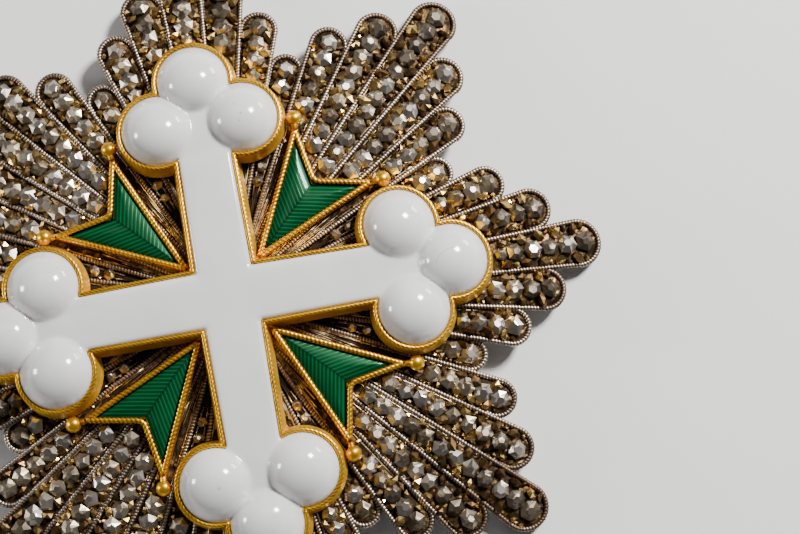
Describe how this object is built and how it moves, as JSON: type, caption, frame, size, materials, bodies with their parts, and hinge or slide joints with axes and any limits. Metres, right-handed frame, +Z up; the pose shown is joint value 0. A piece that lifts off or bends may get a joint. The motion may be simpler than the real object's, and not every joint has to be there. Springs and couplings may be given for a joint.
{
  "type": "breast star",
  "caption": "Silver breast star of studded, cord-edged rays, bearing a white enamelled cross with trefoil ends and green enamelled arrows in its angles, with a fixed pin on the back.",
  "frame": {"origin": "on the surface that the star lies on, straight below its middle: the bottom centre of its bounding box", "axes": "+Z up, out of the star's face; +X along the cross's right arm; +Y along its top arm"},
  "size_m": [0.085, 0.085, 0.0107],
  "materials": {
    "silver": "faceted silver with a warm brown-grey patina in its recesses",
    "gold": "polished gold with a roped upper edge",
    "white_enamel": "glossy opaque white enamel",
    "green_enamel": "glossy translucent green enamel over engraved chevrons"
  },
  "bodies": {
    "root": {"back_plate": "silver", "back_pin": "silver", "cross_frame": "gold", "cross_enamel": "white_enamel", "ray_group_1": "silver", "ray_group_2": "silver", "ray_group_3": "silver", "ray_group_4": "silver", "ray_group_5": "silver", "ray_group_6": "silver", "ray_group_7": "silver", "ray_group_8": "silver", "valley_ray_1": "silver", "valley_ray_2": "silver", "valley_ray_3": "silver", "valley_ray_4": "silver", "valley_ray_5": "silver", "valley_ray_6": "silver", "valley_ray_7": "silver", "valley_ray_8": "silver", "arrow_frame_1": "gold", "arrow_frame_2": "gold", "arrow_frame_3": "gold", "arrow_frame_4": "gold", "arrow_enamel_1": "green_enamel", "arrow_enamel_2": "green_enamel", "arrow_enamel_3": "green_enamel", "arrow_enamel_4": "green_enamel"}
  },
  "joints": []
}
